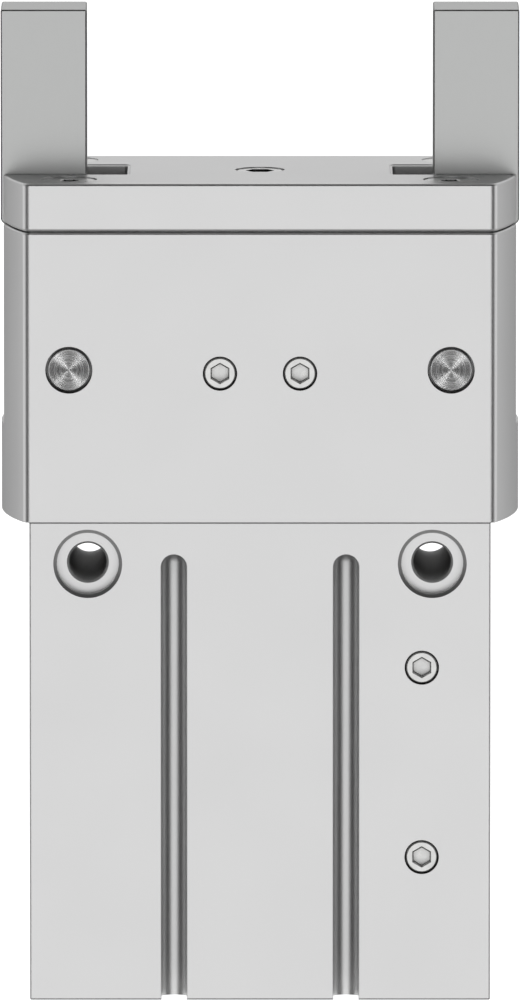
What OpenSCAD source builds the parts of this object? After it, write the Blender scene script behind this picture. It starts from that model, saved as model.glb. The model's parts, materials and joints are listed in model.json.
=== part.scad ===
// Radial pneumatic gripper.
// A double-acting cylinder lifts a double rack, and the rack turns two toothed jaws outwards.
// +Z is up, the front face looks along -Y, and the origin is the middle of the base.

/* [Cylinder body] */
// Width of the cylinder body, side face to side face
body_w = 67; // [66.5:0.5:68]
// Depth of the whole gripper, front face to back face
body_d = 38; // [38:0.5:40]
// Height of the cylinder body
body_h = 70; // [69:0.5:71]
// Diameter of the piston bore
bore_d = 32; // [32]

/* [Housing and plate] */
// Height of the gear housing on top of the body
housing_h = 42.3; // [42:0.1:43]
// Width of the housing and plate along their front edges
housing_front_w = 68.2; // [67:0.2:69]
// Width of the housing and plate at the middle of their curved sides
housing_side_w = 75.4; // [75:0.2:77]
// Thickness of the top plate
plate_t = 7.2; // [6.5:0.1:8]
// Width of the slots that the jaws swing in
slot_w = 13; // [13:0.1:13.2]

/* [Jaws] */
// Height of the fingers above the top plate
finger_h = 24; // [22:1:32]
// Width of a finger, inner face to outer face
finger_w = 12.5; // [12:0.1:12.6]
// Thickness of a jaw, front to back
jaw_t = 12.4; // [12.2:0.1:12.4]
// Distance between the two jaw pivots
pivot_spacing = 55.4; // [55.4]
// Height of the jaw pivots above the base
pivot_z = 92.3; // [92.3]
// Diameter of the jaw pivot pins
pivot_pin_d = 6; // [6]

/* [Rack and gears] */
// Module of the rack and gear teeth
tooth_module = 1; // [1]
// Number of teeth on the whole pitch circle of a jaw
gear_teeth = 18; // [18]
// Pressure angle of the teeth
pressure_angle = 20; // [20]
// Play between meshing tooth flanks, along the pitch line
backlash = 0.12; // [0.08:0.02:0.16]

/* [Mounting] */
// Distance between the two cross holes through the body
cross_hole_spacing = 50; // [50]
// Height of the cross holes above the base
cross_hole_z = 64; // [64]
// Diameter of the centring seats around the cross holes
seat_d = 9; // [9]
// Distance between the two sensor slots of a face
sensor_slot_spacing = 25; // [25]
// Width of the mouth of a sensor slot
sensor_slot_w = 3.7; // [3.5:0.1:3.8]
// Height of the lower air port, which opens the jaws
lower_port_z = 21; // [20.5:0.5:21.5]
// Height of the upper air port, which closes the jaws
upper_port_z = 48.8; // [48:0.2:49.4]

/* [Hidden] */

$fn = 96;
sides = [-1, 1];
// Distance that a cutting shape runs past the face it opens
over = 1;

// Stack of heights
housing_z = body_h;
plate_z = housing_z + housing_h;
plate_top_z = plate_z + plate_t;
jaw_top_z = plate_top_z + finger_h;
front_y = -body_d / 2;
back_y = body_d / 2;
side_x = body_w / 2;

// Plan of the housing and plate: flat front and back, round sides
side_rise = (housing_side_w - housing_front_w) / 2;
side_r = (pow(body_d / 2, 2) + pow(side_rise, 2)) / (2 * side_rise);

// Bore, end cap and its retaining ring
bore_r = bore_d / 2;
bore_top_z = 51;
bore_lead_in = 0.8;
cap_gap = 0.05;
cap_z = 4.6;
cap_top_z = 18.5;
cap_groove_z = 10.6;
cap_groove_h = 2.4;
cap_groove_r = 13.7;
oring_r = 1.1;
ring_t = 1.4;
ring_groove_play = 0.2;
ring_groove_r = 17.2;
ring_inner_r = 14.4;
ring_outer_r = 17;
ring_gap_w = 7;
ring_lug_r = 1.9;
ring_lug_hole_r = 0.8;
ring_lug_inset = 0.7;
ring_lug_angle = 26;

// Rod guide in the top wall of the body
rod_r = 5;
rod_play = 0.04;
bush_r = 6.5;
bush_z = 56;
bush_recess = 0.5;
rod_seal_r = 8;
rod_seal_gap = 0.1;
floor_hole_r = 6;

// Bumpers on both ends of the bore
bumper_r = 10;
bottom_bumper_bore_r = 4;
bottom_bumper_t = 1.9;
top_bumper_bore_r = 5.4;
top_bumper_t = 1.8;

// Stroke for a quarter turn of the jaws
gear_pitch_r = tooth_module * gear_teeth / 2;
jaw_swing = 90;
stroke = gear_pitch_r * jaw_swing * PI / 180;
tooth_pitch = PI * tooth_module;

// Piston: one body with grooves for two seals, a magnet and a wear ring
piston_z = 20.6;
piston_body_z = 23.3;
piston_body_top_z = 34.2;
stroke_end_gap = 0.06;
piston_top_z = bore_top_z - top_bumper_t - stroke - stroke_end_gap;
piston_r = bore_r - 0.3;
piston_foot_r = 10;
piston_boss_r = 9;
ring_land = 0.7;
seal_h = 1.9;
magnet_h = 2.2;
wear_ring_h = 1.4;
lower_seal_z = piston_body_z + ring_land;
magnet_z = lower_seal_z + seal_h + ring_land;
wear_ring_z = magnet_z + magnet_h + ring_land;
upper_seal_z = wear_ring_z + wear_ring_h + ring_land;
seal_groove_r = 13;
magnet_groove_r = 12;
wear_groove_r = 14.5;
running_gap = 0.05;
nut_pocket_r = 7;
nut_af = 10;
nut_h = 4.1;
nut_seat_z = 25;
stud_r = 4;
stud_z = 20.9;

// Rack block and the screw that holds it on the rod
rack_pitch_x = pivot_spacing / 2 - gear_pitch_r;
addendum = tooth_module;
dedendum = 1.25 * tooth_module;
rack_root_x = rack_pitch_x - dedendum;
rack_t = 12.2;
rack_z = 73.4;
rack_top_z = 96.3;
rack_tooth_count = 7;
rod_top_z = 78;
rack_screw_r = 3;
rack_screw_z = 65.1;
rack_screw_hole_z = 64;
rack_screw_head_r = 5;
rack_screw_head_h = 6;
rack_screw_seat_z = 90.1;
rack_screw_af = 5;
rack_screw_socket = 3;
head_gap = 0.25;

// Housing cavity: a tall pocket for the rack and a wide one for the gears
cavity_floor_z = 73;
rack_pocket_x = 20.3;
gear_pocket_x = 32.5;
gear_pocket_z = 81.5;
side_slot_z = 83;

// Fasteners between the housing and the body
housing_screw_x = 16.5;
housing_screw_y = 11.5;
housing_screw_r = 2;
housing_screw_hole_r = 2.2;
housing_screw_z = 57;
housing_screw_hole_z = 55;
housing_screw_head_r = 3.5;
housing_screw_head_h = 4;
housing_screw_sink = 5;
housing_screw_seat_z = plate_z - housing_screw_sink;
housing_screw_af = 3;
housing_screw_socket = 2;
dowel_r = 1.5;
dowel_z = 66.3;
dowel_top_z = 72.7;
dowel_hole_z = 66;

// Guide screws in the front of the housing and the pads they press on the rack
guide_x = 5.8;
guide_z = 91.8;
set_screw_r = 2.5;
set_screw_af = 2.7;
set_screw_socket = 2.2;
set_screw_point = 0.35;
set_screw_recess = 0.15;
set_screw_point_depth = 0.75;
guide_pad_y = -6.2;
guide_pad_back_y = -9;
guide_screw_back_y = -9.2;
guide_pad_r = 2.4;

// Jaw pivots
pivot_x = pivot_spacing / 2;
pin_r = pivot_pin_d / 2;
pin_recess = 0.1;
pin_chamfer = 0.12;
pin_mouth_r = 3.42;
pin_mouth_depth = 1.5;
bush_play = 0.03;
jaw_bush_r = 4.2;
washer_t = 0.6;
washer_r = 5.4;
washer_bore_r = 3.1;
washer_gap = 0.1;
washer_pocket_r = 5.75;
jaw_bush_end_gap = 0.05;

// Jaw outline
finger_inner_x = housing_side_w / 2 - finger_w;
finger_outer_x = housing_side_w / 2;
leg_r = 9;
leg_step = finger_outer_x - pivot_x - leg_r;
leg_step_rise = 0.4;
leg_step_z = plate_z + leg_step_rise;
hub_r = gear_pitch_r - dedendum;
gear_tip_r = gear_pitch_r + addendum;
gear_base_r = gear_pitch_r * cos(pressure_angle);
flank_steps = 6;
tooth_angle = 360 / gear_teeth;
first_tooth_angle = 160;
last_tooth_angle = 280;
heel_angle = 62;

// Threaded holes for gripping fingers in the jaws
finger_hole_r = 2.1;
finger_hole_rise = [6.5, 17.5];
finger_seat_r = 3.5;
finger_seat_depth = 1.3;

// Top plate and its fasteners
plate_seam_h = 0.6;
plate_seam_depth = 0.6;
plate_slot_x = 19.3;
plate_screw_x = 27.7;
plate_screw_y = 13.2;
plate_screw_r = 2;
plate_screw_hole_r = 2.2;
plate_screw_head_r = 3.9;
plate_screw_head_h = 2.2;
plate_screw_drop = 0.15;
plate_screw_top_z = plate_top_z - plate_screw_drop;
plate_sink_play = 0.1;
plate_screw_z = 98.5;
plate_screw_hole_z = 97.5;
plate_screw_af = 2.5;
plate_screw_socket = 1.6;
plug_r = 3.6;
plug_lift = 1;
plug_z = plate_z + plug_lift;
plug_recess = 0.15;
plug_chamfer = 0.35;
plug_af = 3.7;
plug_socket = 3;

// Cross holes, with a centring seat and a countersink at each end
cross_hole_r = 2.75;
cross_sink_r = 3.05;
cross_sink_depth = 0.3;
seat_depth = 2.1;
seat_chamfer = 0.5;

// Sensor slots: a narrow mouth over a round channel with a ball end
sensor_slot_top_z = 65.3;
sensor_channel_r = 2.1;
sensor_channel_depth = 3.1;

// Air ports: tapped from the side, drilled across to the front, and into the bore
port_x = 23.5;
port_r = 2.1;
port_depth = 12.5;
port_cross_y = 2.4;
port_drill_r = 1.25;
port_plug_back_y = -13;

// Tapped holes in the base
base_hole_x = 25;
base_hole_y = 12;
base_hole_depth = 9;
base_hole_r = 2.1;

// Edge breaks
body_edge = 0.35;

// Solid round bar along X, Y or Z between two ends
module bar_x(y, z, x0, x1, r)
    translate([x0, y, z]) rotate([0, 90, 0]) cylinder(h = x1 - x0, r = r);

module bar_y(x, z, y0, y1, r)
    translate([x, y0, z]) rotate([-90, 0, 0]) cylinder(h = y1 - y0, r = r);

module bar_z(x, y, z0, z1, r)
    translate([x, y, z0]) cylinder(h = z1 - z0, r = r);

// Cone along Y whose radius goes from r0 at y0 to r1 at y1
module cone_y(x, z, y0, y1, r0, r1)
    translate([x, y0, z]) rotate([-90, 0, 0]) cylinder(h = y1 - y0, r1 = r0, r2 = r1);

// Cone along Z whose radius goes from r0 at z0 to r1 at z1
module cone_z(x, y, z0, z1, r0, r1)
    translate([x, y, z0]) cylinder(h = z1 - z0, r1 = r0, r2 = r1);

// Upright ring around the middle axis
module ring_z(z0, z1, r_in, r_out)
    difference() {
        bar_z(0, 0, z0, z1, r_out);
        bar_z(0, 0, z0 - over, z1 + over, r_in);
    }

// Block given by its two opposite corners
module block(low, high)
    translate(low) cube(high - low);

// Flat outline in X and Z, extruded between two depths
module slab_y(y0, y1)
    translate([0, y1, 0]) rotate([90, 0, 0]) linear_extrude(y1 - y0) children();

// Upright six-sided bar with two corners on the X axis
module hex_z(x, y, z0, z1, af)
    translate([x, y, z0]) cylinder(h = z1 - z0, r = af / sqrt(3), $fn = 6);

// Six-sided bar along Y with two flats facing the sides
module hex_y(x, z, y0, y1, af)
    translate([x, y0, z]) rotate([-90, 30, 0]) cylinder(h = y1 - y0, r = af / sqrt(3), $fn = 6);

// Both side mirrors of its child
module on_both_sides()
    for (side = sides)
        mirror([side < 0 ? 1 : 0, 0, 0]) children();

// Both front and back mirrors of its child
module front_and_back()
    for (side = sides)
        mirror([0, side < 0 ? 1 : 0, 0]) children();

// Four corner copies of its child
module at_corners()
    on_both_sides() front_and_back() children();

// Body block with broken upright edges
module body_block() {
    x = side_x;
    y = back_y;
    e = body_edge;
    linear_extrude(body_h)
        polygon([[-x + e, -y], [x - e, -y], [x, -y + e], [x, y - e],
                 [x - e, y], [-x + e, y], [-x, y - e], [-x, -y + e]]);
}

// Housing and plate plan, made smaller all round by inset
module round_sided_block(z0, z1, inset) {
    centre_x = housing_side_w / 2 - side_r;
    reach = side_r - inset;
    intersection() {
        block([-housing_side_w, front_y + inset, z0], [housing_side_w, back_y - inset, z1]);
        bar_z(centre_x, 0, z0 - over, z1 + over, reach);
        bar_z(-centre_x, 0, z0 - over, z1 + over, reach);
    }
}

// Cutter for one cross hole with its front seat and countersink
module cross_hole_cut(x) {
    bar_y(x, cross_hole_z, front_y - over, back_y + over, cross_hole_r);
    front_and_back() {
        floor_y = back_y - seat_depth;
        bar_y(x, cross_hole_z, floor_y, back_y + over, seat_d / 2);
        cone_y(x, cross_hole_z, back_y - seat_chamfer, back_y, seat_d / 2, seat_d / 2 + seat_chamfer);
        cone_y(x, cross_hole_z, floor_y - cross_sink_depth, floor_y, cross_hole_r, cross_sink_r);
    }
}

// Cutter for one sensor slot in the back face, closed by a ball end at the top
module sensor_slot_cut(x) {
    half = sensor_slot_w / 2;
    arch_z = sensor_slot_top_z - half;
    channel_y = back_y - sensor_channel_depth;
    block([x - half, channel_y, -over], [x + half, back_y + over, arch_z]);
    bar_y(x, arch_z, channel_y, back_y + over, half);
    bar_z(x, channel_y, -over, arch_z, sensor_channel_r);
    translate([x, channel_y, arch_z]) sphere(sensor_channel_r);
}

// Cutter for one air port: side thread, front thread, and the drilling into the bore
module port_cut(z) {
    bar_x(0, z, side_x - port_depth, side_x + over, port_r);
    bar_x(0, z, 0, side_x - port_depth + over, port_drill_r);
    bar_y(port_x, z, front_y - over, port_cross_y, port_r);
    bar_y(port_x, z, front_y - over, port_plug_back_y, set_screw_r);
}

// Rectangular cylinder body with the bore, ports, slots and mounting holes
module cylinder_body()
    color("gainsboro") difference() {
        body_block();
        bar_z(0, 0, -over, bore_top_z, bore_r);
        cone_z(0, 0, 0, bore_lead_in, bore_r + bore_lead_in, bore_r);
        bar_z(0, 0, cap_z - ring_t - ring_groove_play, cap_z, ring_groove_r);
        bar_z(0, 0, bore_top_z - over, bush_z, rod_seal_r);
        bar_z(0, 0, bush_z - over, body_h + over, bush_r);
        for (side = sides)
            cross_hole_cut(side * cross_hole_spacing / 2);
        at_corners()
            bar_z(housing_screw_x, housing_screw_y, housing_screw_hole_z, body_h + over, housing_screw_r);
        on_both_sides()
            bar_z(housing_screw_x, 0, dowel_hole_z, body_h + over, dowel_r);
        at_corners()
            sensor_slot_cut(sensor_slot_spacing / 2);
        at_corners()
            bar_z(base_hole_x, base_hole_y, -over, base_hole_depth, base_hole_r);
        for (z = [lower_port_z, upper_port_z])
            port_cut(z);
    }

// Round cover that closes the lower end of the bore
module end_cap()
    color("lightgray") difference() {
        bar_z(0, 0, cap_z, cap_top_z, bore_r - cap_gap);
        ring_z(cap_groove_z, cap_groove_z + cap_groove_h, cap_groove_r, bore_r + over);
    }

// Seal ring in the groove of the end cap
module end_cap_oring()
    color("black")
        translate([0, 0, cap_groove_z + cap_groove_h / 2])
            rotate_extrude()
                translate([bore_r - cap_gap - oring_r, 0]) circle(r = oring_r);

// Open spring ring that holds the end cap in the bore
module retaining_ring() {
    z0 = cap_z - ring_t - ring_groove_play / 2;
    z1 = z0 + ring_t;
    lug_x = ring_inner_r - ring_lug_inset;
    gap_y = -ring_inner_r / 2;
    color("dimgray") difference() {
        union() {
            difference() {
                ring_z(z0, z1, ring_inner_r, ring_outer_r);
                block([-ring_gap_w / 2, -ring_outer_r - over, z0 - over],
                      [ring_gap_w / 2, gap_y, z1 + over]);
            }
            for (side = sides)
                rotate([0, 0, -90 + side * ring_lug_angle]) bar_z(lug_x, 0, z0, z1, ring_lug_r);
        }
        for (side = sides)
            rotate([0, 0, -90 + side * ring_lug_angle])
                bar_z(lug_x, 0, z0 - over, z1 + over, ring_lug_hole_r);
    }
}

// Soft stop under the piston
module bottom_bumper()
    color("black") ring_z(cap_top_z, cap_top_z + bottom_bumper_t, bottom_bumper_bore_r, bumper_r);

// Soft stop above the piston, which also keeps the rod seal in
module top_bumper()
    color("black") ring_z(bore_top_z - top_bumper_t, bore_top_z, top_bumper_bore_r, bumper_r);

// Lip seal around the piston rod
module rod_seal()
    color("black") ring_z(bore_top_z, bush_z, rod_r + rod_play, rod_seal_r - rod_seal_gap);

// Plain bearing of the piston rod
module rod_bush()
    color("peru") ring_z(bush_z, body_h - bush_recess, rod_r + rod_play, bush_r);

// Headless screw along Y: flat socket end towards the front, plain end at the back
module set_screw(x, z, y0, y1) {
    front = y0 + set_screw_point;
    socket_y = y0 + set_screw_socket;
    difference() {
        union() {
            cone_y(x, z, y0, front, set_screw_r - set_screw_point, set_screw_r);
            bar_y(x, z, front, y1, set_screw_r);
        }
        hex_y(x, z, y0 - over, socket_y, set_screw_af);
        cone_y(x, z, socket_y, socket_y + set_screw_point_depth, set_screw_af / 2, 0);
    }
}

// Headless screws that close the two unused front ports
module port_plugs()
    color("whitesmoke")
        for (z = [lower_port_z, upper_port_z])
            set_screw(port_x, z, front_y + set_screw_recess, port_plug_back_y);

// Cutter for one ring groove around the piston
module piston_groove(z, h, r)
    ring_z(z, z + h, r, piston_r + over);

// Piston with a foot below, a boss above, and four ring grooves
module piston()
    color("lightsteelblue") difference() {
        union() {
            bar_z(0, 0, piston_z, piston_top_z - over, piston_boss_r);
            bar_z(0, 0, piston_z, piston_body_z + over, piston_foot_r);
            bar_z(0, 0, piston_body_z, piston_body_top_z, piston_r);
            bar_z(0, 0, piston_body_top_z - over, piston_top_z, piston_boss_r);
        }
        piston_groove(lower_seal_z, seal_h, seal_groove_r);
        piston_groove(upper_seal_z, seal_h, seal_groove_r);
        piston_groove(magnet_z, magnet_h, magnet_groove_r);
        piston_groove(wear_ring_z, wear_ring_h, wear_groove_r);
        bar_z(0, 0, piston_z - over, piston_top_z + over, stud_r);
        bar_z(0, 0, piston_z - over, nut_seat_z, nut_pocket_r);
    }

// Two seals that part the air above the piston from the air below it
module piston_seals()
    color("black")
        for (z = [lower_seal_z, upper_seal_z])
            ring_z(z, z + seal_h, seal_groove_r, bore_r - running_gap);

// Ring magnet that the sensors in the slots respond to
module piston_magnet()
    color("dimgray") ring_z(magnet_z, magnet_z + magnet_h, magnet_groove_r, piston_r);

// Bearing band that guides the piston in the bore
module piston_wear_ring()
    color("peru") ring_z(wear_ring_z, wear_ring_z + wear_ring_h, wear_groove_r, bore_r - running_gap);

// Nut that clamps the piston on the rod's stud
module piston_nut()
    color("silver") difference() {
        hex_z(0, 0, nut_seat_z - nut_h, nut_seat_z, nut_af);
        bar_z(0, 0, nut_seat_z - nut_h - over, nut_seat_z + over, stud_r);
    }

// Piston rod with a stud for the piston and a tapped top end
module piston_rod()
    color("silver") difference() {
        union() {
            bar_z(0, 0, stud_z, piston_top_z + over, stud_r);
            bar_z(0, 0, piston_top_z, rod_top_z, rod_r);
        }
        bar_z(0, 0, rack_screw_hole_z, rod_top_z + over, rack_screw_r);
    }

// Half width of a rack tooth at a height above the pitch line
function rack_half_tooth(h) = (tooth_pitch - backlash) / 4 - h * tan(pressure_angle);

// One straight-sided tooth on the right flank of the rack
module rack_tooth(z) {
    base = rack_half_tooth(-dedendum);
    tip = rack_half_tooth(addendum);
    polygon([[rack_root_x - over, z - base], [rack_root_x, z - base], [rack_pitch_x + addendum, z - tip],
             [rack_pitch_x + addendum, z + tip], [rack_root_x, z + base], [rack_root_x - over, z + base]]);
}

// Sliding block on the rod's end with rack teeth on both flanks
module rack_block() {
    half = rack_t / 2;
    color("slategray") difference() {
        union() {
            block([-rack_root_x, -half, rack_z], [rack_root_x, half, rack_top_z]);
            on_both_sides()
                for (i = [0 : rack_tooth_count - 1])
                    slab_y(-half, half) rack_tooth(pivot_z + tooth_pitch * (0.5 - i));
        }
        bar_z(0, 0, rack_z - over, rod_top_z, rod_r);
        bar_z(0, 0, rack_z, rack_top_z, rack_screw_r);
        bar_z(0, 0, rack_screw_seat_z, rack_top_z + over, rack_screw_head_r + head_gap);
    }
}

// Upright socket-head screw between its point and its head's seat
module cap_screw(x, y, z, seat_z, r, head_r, head_h, af, socket)
    difference() {
        union() {
            bar_z(x, y, z, seat_z + head_h / 2, r);
            bar_z(x, y, seat_z, seat_z + head_h, head_r);
        }
        hex_z(x, y, seat_z + head_h - socket, seat_z + head_h + over, af);
    }

// Screw that pulls the rack block down on the rod
module rack_screw()
    color("dimgray")
        cap_screw(0, 0, rack_screw_z, rack_screw_seat_z, rack_screw_r, rack_screw_head_r,
                  rack_screw_head_h, rack_screw_af, rack_screw_socket);

// Pockets for the rack and the gears, with the side slots for the jaws
module cavity_cut() {
    half = slot_w / 2;
    top = plate_z + over;
    block([-rack_pocket_x, -half, cavity_floor_z], [rack_pocket_x, half, top]);
    block([-gear_pocket_x, -half, gear_pocket_z], [gear_pocket_x, half, top]);
    block([-housing_side_w, -half, side_slot_z], [housing_side_w, half, top]);
}

// Cutter for one pivot pin hole, counterbored at each end
module pin_hole_cut() {
    bar_y(pivot_x, pivot_z, front_y - over, back_y + over, pin_r);
    front_and_back()
        bar_y(pivot_x, pivot_z, back_y - pin_mouth_depth, back_y + over, pin_mouth_r);
}

// Cutter for one guide screw hole in the front wall
module guide_hole_cut()
    bar_y(guide_x, guide_z, front_y - over, 0, set_screw_r);

// Gear housing around the rack and the jaw hubs
module housing()
    color("gainsboro") difference() {
        round_sided_block(housing_z, plate_z, 0);
        cavity_cut();
        bar_z(0, 0, housing_z - over, cavity_floor_z + over, floor_hole_r);
        on_both_sides() {
            pin_hole_cut();
            guide_hole_cut();
            bar_z(housing_screw_x, 0, housing_z - over, cavity_floor_z + over, dowel_r);
        }
        at_corners() {
            bar_z(housing_screw_x, housing_screw_y, housing_z - over, plate_z + over, housing_screw_hole_r);
            bar_z(housing_screw_x, housing_screw_y, housing_screw_seat_z, plate_z + over,
                  housing_screw_head_r + head_gap);
            bar_z(plate_screw_x, plate_screw_y, plate_screw_hole_z, plate_z + over, plate_screw_r);
        }
    }

// Four long screws that hold the housing on the cylinder body
module housing_screws()
    color("dimgray") at_corners()
        cap_screw(housing_screw_x, housing_screw_y, housing_screw_z, housing_screw_seat_z, housing_screw_r,
                  housing_screw_head_r, housing_screw_head_h, housing_screw_af, housing_screw_socket);

// Two pins that line the housing up with the cylinder body
module dowel_pins()
    color("silver") on_both_sides()
        bar_z(housing_screw_x, 0, dowel_z, dowel_top_z, dowel_r);

// Two pads that take up the play of the rack block
module guide_pads()
    color("peru") on_both_sides()
        bar_y(guide_x, guide_z, guide_pad_back_y, guide_pad_y, guide_pad_r);

// Two headless screws that adjust the guide pads
module guide_screws()
    color("whitesmoke") on_both_sides()
        set_screw(guide_x, guide_z, front_y + set_screw_recess, guide_screw_back_y);

// Involute function of a pressure angle, in degrees
function involute(angle) = tan(angle) * 180 / PI - angle;

// Half angle of a gear tooth at a radius on or above the base circle
function half_tooth_angle(r) =
    (tooth_pitch - backlash) / 4 / gear_pitch_r * 180 / PI
    + involute(pressure_angle) - involute(acos(min(1, gear_base_r / r)));

function polar(r, angle) = [r * cos(angle), r * sin(angle)];

// One involute tooth around the pivot, standing in a given direction
module gear_tooth(angle) {
    rise = (gear_tip_r - gear_base_r) / flank_steps;
    radii = [for (i = [0 : flank_steps]) gear_base_r + i * rise];
    upper = [for (r = radii) polar(r, half_tooth_angle(r))];
    lower = [for (i = [flank_steps : -1 : 0]) polar(radii[i], -half_tooth_angle(radii[i]))];
    root_half = half_tooth_angle(gear_base_r);
    root = [polar(hub_r - over, -root_half), polar(hub_r - over, root_half)];
    rotate([0, 0, angle]) polygon(concat(root, upper, lower));
}

// Leg and finger outline of the right jaw, with its step above the housing
module leg_outline()
    polygon([[finger_inner_x, pivot_z], [pivot_x + leg_r, pivot_z],
             [pivot_x + leg_r, leg_step_z - leg_step], [finger_outer_x, leg_step_z],
             [finger_outer_x, jaw_top_z], [finger_inner_x, jaw_top_z]]);

// Rounded heel of the right jaw, below its leg
module heel() {
    half = jaw_t / 2;
    intersection() {
        bar_y(pivot_x, pivot_z, -half, half, leg_r);
        slab_y(-half, half)
            translate([pivot_x, pivot_z])
                polygon([[0, 0], polar(2 * leg_r, -heel_angle), [2 * leg_r, -2 * leg_r],
                         [2 * leg_r, over], [0, over]]);
    }
}

// Right jaw: toothed hub, leg and finger in one piece
module jaw() {
    half = jaw_t / 2;
    pocket_y = slot_w / 2 - washer_t - washer_gap;
    difference() {
        union() {
            bar_y(pivot_x, pivot_z, -half, half, hub_r);
            heel();
            slab_y(-half, half) leg_outline();
            slab_y(-half, half)
                translate([pivot_x, pivot_z])
                    for (angle = [first_tooth_angle : tooth_angle : last_tooth_angle])
                        gear_tooth(angle);
        }
        bar_y(pivot_x, pivot_z, -half - over, half + over, jaw_bush_r);
        front_and_back()
            bar_y(pivot_x, pivot_z, pocket_y, half + over, washer_pocket_r);
        for (rise = finger_hole_rise) {
            bar_x(0, plate_top_z + rise, finger_inner_x - over, finger_outer_x + over, finger_hole_r);
            bar_x(0, plate_top_z + rise, finger_outer_x - finger_seat_depth, finger_outer_x + over,
                  finger_seat_r);
        }
    }
}

module jaw_left()
    color("silver") mirror([1, 0, 0]) jaw();

module jaw_right()
    color("silver") jaw();

// Bearing bush inside the hub of the right jaw
module jaw_bush() {
    end_y = slot_w / 2 - washer_t - washer_gap - jaw_bush_end_gap;
    difference() {
        bar_y(pivot_x, pivot_z, -end_y, end_y, jaw_bush_r);
        bar_y(pivot_x, pivot_z, -end_y - over, end_y + over, pin_r + bush_play);
    }
}

module jaw_bush_left()
    color("peru") mirror([1, 0, 0]) jaw_bush();

module jaw_bush_right()
    color("peru") jaw_bush();

// Four thin washers between the jaw hubs and the slot walls
module thrust_washers()
    color("peru") at_corners() {
        y1 = slot_w / 2;
        difference() {
            bar_y(pivot_x, pivot_z, y1 - washer_t, y1, washer_r);
            bar_y(pivot_x, pivot_z, y1 - washer_t - over, y1 + over, washer_bore_r);
        }
    }

// Pivot pin of the right jaw, chamfered at both ends
module pivot_pin() {
    end_y = back_y - pin_recess;
    bar_y(pivot_x, pivot_z, -end_y + pin_chamfer, end_y - pin_chamfer, pin_r);
    front_and_back()
        cone_y(pivot_x, pivot_z, end_y - pin_chamfer, end_y, pin_r, pin_r - pin_chamfer);
}

module pivot_pin_left()
    color("darkgray") mirror([1, 0, 0]) pivot_pin();

module pivot_pin_right()
    color("darkgray") pivot_pin();

// Cover plate with two jaw slots, over a narrow seam
module top_plate() {
    half = slot_w / 2;
    color("gainsboro") difference() {
        union() {
            round_sided_block(plate_z, plate_z + plate_seam_h + over, plate_seam_depth);
            round_sided_block(plate_z + plate_seam_h, plate_top_z, 0);
        }
        on_both_sides()
            block([plate_slot_x, -half, plate_z - over], [housing_side_w, half, plate_top_z + over]);
        at_corners() {
            sink_r = plate_screw_head_r + plate_sink_play;
            bar_z(plate_screw_x, plate_screw_y, plate_z - over, plate_top_z, plate_screw_hole_r);
            cone_z(plate_screw_x, plate_screw_y, plate_screw_top_z - plate_screw_head_h, plate_screw_top_z,
                   plate_screw_r + plate_sink_play, sink_r);
            bar_z(plate_screw_x, plate_screw_y, plate_screw_top_z, plate_top_z + over, sink_r);
        }
        bar_z(0, 0, plate_z - over, plate_top_z + over, plug_r);
    }
}

// Four countersunk screws of the top plate
module plate_screws()
    color("silver") at_corners() {
        top = plate_screw_top_z;
        difference() {
            union() {
                bar_z(plate_screw_x, plate_screw_y, plate_screw_z, top - over, plate_screw_r);
                cone_z(plate_screw_x, plate_screw_y, top - plate_screw_head_h, top,
                       plate_screw_r, plate_screw_head_r);
            }
            hex_z(plate_screw_x, plate_screw_y, top - plate_screw_socket, top + over, plate_screw_af);
        }
    }

// Plug that closes the opening over the rack screw
module plate_plug() {
    top = plate_top_z - plug_recess;
    color("silver") difference() {
        union() {
            bar_z(0, 0, plug_z, top - plug_chamfer, plug_r);
            cone_z(0, 0, top - plug_chamfer, top, plug_r, plug_r - plug_chamfer);
        }
        hex_z(0, 0, top - plug_socket, top + over, plug_af);
    }
}

cylinder_body();
end_cap();
end_cap_oring();
retaining_ring();
bottom_bumper();
top_bumper();
rod_seal();
rod_bush();
port_plugs();
piston();
piston_seals();
piston_magnet();
piston_wear_ring();
piston_nut();
piston_rod();
rack_block();
rack_screw();
housing();
housing_screws();
dowel_pins();
guide_pads();
guide_screws();
jaw_left();
jaw_right();
jaw_bush_left();
jaw_bush_right();
thrust_washers();
pivot_pin_left();
pivot_pin_right();
top_plate();
plate_screws();
plate_plug();
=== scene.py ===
"""Looks of the radial pneumatic gripper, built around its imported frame."""
import json
import math

import bmesh
import bpy
from mathutils import Matrix, Vector


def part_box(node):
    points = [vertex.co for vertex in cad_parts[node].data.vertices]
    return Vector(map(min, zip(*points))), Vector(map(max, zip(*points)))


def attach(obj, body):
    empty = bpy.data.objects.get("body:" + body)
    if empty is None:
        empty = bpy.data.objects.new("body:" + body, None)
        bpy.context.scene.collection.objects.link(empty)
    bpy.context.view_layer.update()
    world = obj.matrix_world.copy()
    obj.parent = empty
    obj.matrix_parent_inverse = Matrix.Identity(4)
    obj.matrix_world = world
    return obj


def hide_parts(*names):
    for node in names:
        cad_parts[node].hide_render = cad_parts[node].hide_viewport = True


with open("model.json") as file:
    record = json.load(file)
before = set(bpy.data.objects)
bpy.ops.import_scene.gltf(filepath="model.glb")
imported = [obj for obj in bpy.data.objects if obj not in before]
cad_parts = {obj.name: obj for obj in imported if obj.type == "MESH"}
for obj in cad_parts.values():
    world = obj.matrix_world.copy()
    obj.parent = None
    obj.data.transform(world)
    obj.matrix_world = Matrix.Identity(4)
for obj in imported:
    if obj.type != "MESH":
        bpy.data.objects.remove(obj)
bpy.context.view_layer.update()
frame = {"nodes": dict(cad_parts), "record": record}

# Shapes are worked out in millimetres and scaled to the frame's metres when they are placed.
MM = 0.001
NODES = frame["nodes"]
MOUNTS = {mount["name"]: mount for mount in frame["record"]["mounts"]}


# ---------------------------------------------------------------- sizes from the frame

def node_box(name):
    """Lowest and highest corner of a CAD node, in millimetres."""
    low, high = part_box(name)
    return low / MM, high / MM


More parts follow.
